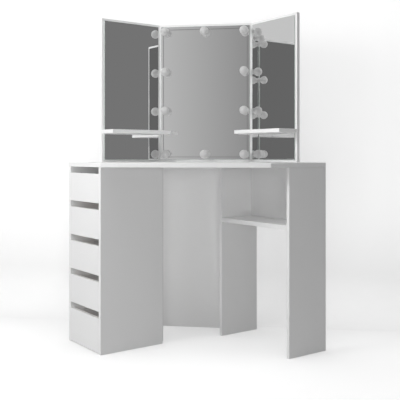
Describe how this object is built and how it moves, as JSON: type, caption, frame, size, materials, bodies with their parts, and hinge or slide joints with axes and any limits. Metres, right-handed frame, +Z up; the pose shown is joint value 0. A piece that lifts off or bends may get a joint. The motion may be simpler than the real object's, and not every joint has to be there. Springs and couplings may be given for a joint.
{
  "type": "vanity table with mirror",
  "caption": "Corner vanity desk with a finger-slot drawer cabinet, an open side shelf, and a standing three-wing mirror that carries a ring of globe lights and small shelves.",
  "frame": {"origin": "on the floor, under the middle of the bounding box", "axes": "+Z up, +Y from the user's front edge towards the room's corner, +X to the user's right"},
  "size_m": [1.0994, 0.5562, 1.41],
  "materials": {
    "white_board": "white melamine-faced board, satin",
    "drawer_frame": "white foil-wrapped board",
    "hardboard": "white lacquered hardboard",
    "white_plastic": "moulded, satin",
    "mirror_glass": "polished silvered glass",
    "bulb": "opal diffuser, unlit",
    "wire": "grey insulated wire",
    "steel_plate": "zinc plated"
  },
  "bodies": {
    "desk": {"table_top": "white_board", "cabinet_outer_side": "white_board", "cabinet_inner_side": "white_board", "cabinet_bottom": "white_board", "cabinet_back": "hardboard", "centre_back_panel": "white_board", "shelf_outer_side": "white_board", "shelf_inner_side": "white_board", "side_shelf": "white_board", "shelf_back_panel": "white_board", "drawer_1_outer_runner": "white_plastic", "drawer_1_inner_runner": "white_plastic", "drawer_2_outer_runner": "white_plastic", "drawer_2_inner_runner": "white_plastic", "drawer_3_outer_runner": "white_plastic", "drawer_3_inner_runner": "white_plastic", "drawer_4_outer_runner": "white_plastic", "drawer_4_inner_runner": "white_plastic", "drawer_5_outer_runner": "white_plastic", "drawer_5_inner_runner": "white_plastic", "mirror_centre_board": "white_board", "mirror_left_board": "white_board", "mirror_right_board": "white_board", "mirror_centre_glass": "mirror_glass", "mirror_left_glass": "mirror_glass", "mirror_right_glass": "mirror_glass", "left_wing_shelf": "white_board", "right_wing_shelf": "white_board", "left_lower_joint_plate": "steel_plate", "left_upper_joint_plate": "steel_plate", "right_lower_joint_plate": "steel_plate", "right_upper_joint_plate": "steel_plate", "bulb_01": "bulb", "bulb_02": "bulb", "bulb_03": "bulb", "bulb_04": "bulb", "bulb_05": "bulb", "bulb_06": "bulb", "bulb_07": "bulb", "bulb_08": "bulb", "bulb_09": "bulb", "bulb_10": "bulb", "led_wire": "wire", "inlet_box": "white_plastic"},
    "drawer_1": {"drawer_1_front": "white_board", "drawer_1_frame": "drawer_frame", "drawer_1_bottom": "hardboard"},
    "drawer_2": {"drawer_2_front": "white_board", "drawer_2_frame": "drawer_frame", "drawer_2_bottom": "hardboard"},
    "drawer_3": {"drawer_3_front": "white_board", "drawer_3_frame": "drawer_frame", "drawer_3_bottom": "hardboard"},
    "drawer_4": {"drawer_4_front": "white_board", "drawer_4_frame": "drawer_frame", "drawer_4_bottom": "hardboard"},
    "drawer_5": {"drawer_5_front": "white_board", "drawer_5_frame": "drawer_frame", "drawer_5_bottom": "hardboard"}
  },
  "joints": [
    {"name": "drawer_1_slide", "type": "slide", "parent": "desk", "child": "drawer_1", "axis": [-0.7071, -0.7071, 0], "range_m": [0, 0.2]},
    {"name": "drawer_2_slide", "type": "slide", "parent": "desk", "child": "drawer_2", "axis": [-0.7071, -0.7071, 0], "range_m": [0, 0.2]},
    {"name": "drawer_3_slide", "type": "slide", "parent": "desk", "child": "drawer_3", "axis": [-0.7071, -0.7071, 0], "range_m": [0, 0.2]},
    {"name": "drawer_4_slide", "type": "slide", "parent": "desk", "child": "drawer_4", "axis": [-0.7071, -0.7071, 0], "range_m": [0, 0.2]},
    {"name": "drawer_5_slide", "type": "slide", "parent": "desk", "child": "drawer_5", "axis": [-0.7071, -0.7071, 0], "range_m": [0, 0.2]}
  ]
}
